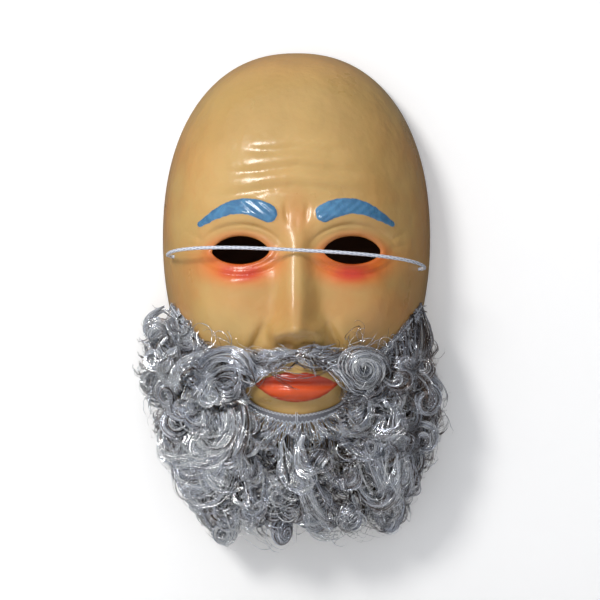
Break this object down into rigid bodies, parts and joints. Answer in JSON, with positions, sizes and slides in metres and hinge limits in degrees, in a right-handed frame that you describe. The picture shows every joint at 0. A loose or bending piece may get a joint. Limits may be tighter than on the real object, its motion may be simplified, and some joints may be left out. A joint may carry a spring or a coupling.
{
  "type": "bearded old man face mask",
  "caption": "Thin glossy moulded plastic face mask of a bald old man with eye holes, an elastic cord, and a curly silver moustache and beard sewn on.",
  "frame": {"origin": "crown of the shell's flat back rim, at mid wall, where the mask rests on a wall or a table", "axes": "+Z from the chin to the crown, the face looks towards -Y, +X to the right as seen from the front"},
  "size_m": [0.1925, 0.1007, 0.2958],
  "materials": {
    "skin_plastic": "glossy flesh-coloured moulded plastic with sprayed blush and painted eyebrows and lips",
    "white_elastic": "braided round elastic cord",
    "weft_band": "stitched grey weft band",
    "black_thread": "black thread",
    "silver_hair": "shiny silver-grey synthetic hair in curls"
  },
  "bodies": {
    "mask": {"mask_shell": "skin_plastic", "moustache_band": "weft_band", "chin_band": "weft_band", "cheek_band_left": "weft_band", "cheek_band_right": "weft_band", "moustache_tie_left": "black_thread", "moustache_tie_middle": "black_thread", "moustache_tie_right": "black_thread", "chin_tie_left": "black_thread", "chin_tie_middle": "black_thread", "chin_tie_right": "black_thread", "cheek_tie_left_upper": "black_thread", "cheek_tie_left_lower": "black_thread", "cheek_tie_right_upper": "black_thread", "cheek_tie_right_lower": "black_thread", "moustache_hair_left": "silver_hair", "moustache_hair_right": "silver_hair", "cheek_hair_left": "silver_hair", "cheek_hair_right": "silver_hair", "chin_hair": "silver_hair"},
    "cord": {"elastic_cord": "white_elastic"},
    "beard": {"hanging_beard_left": "silver_hair", "hanging_beard_middle": "silver_hair", "hanging_beard_right": "silver_hair"}
  },
  "joints": [
    {"name": "cord_swing", "type": "hinge", "parent": "mask", "child": "cord", "pos_m": [0, -0.038, -0.12601], "axis": [-0.9987, 0, 0.0503], "range_deg": [-12, 21]},
    {"name": "beard_swing", "type": "hinge", "parent": "mask", "child": "beard", "pos_m": [0, -0.036, -0.239], "axis": [-1, 0, 0], "range_deg": [-12, 30]}
  ]
}
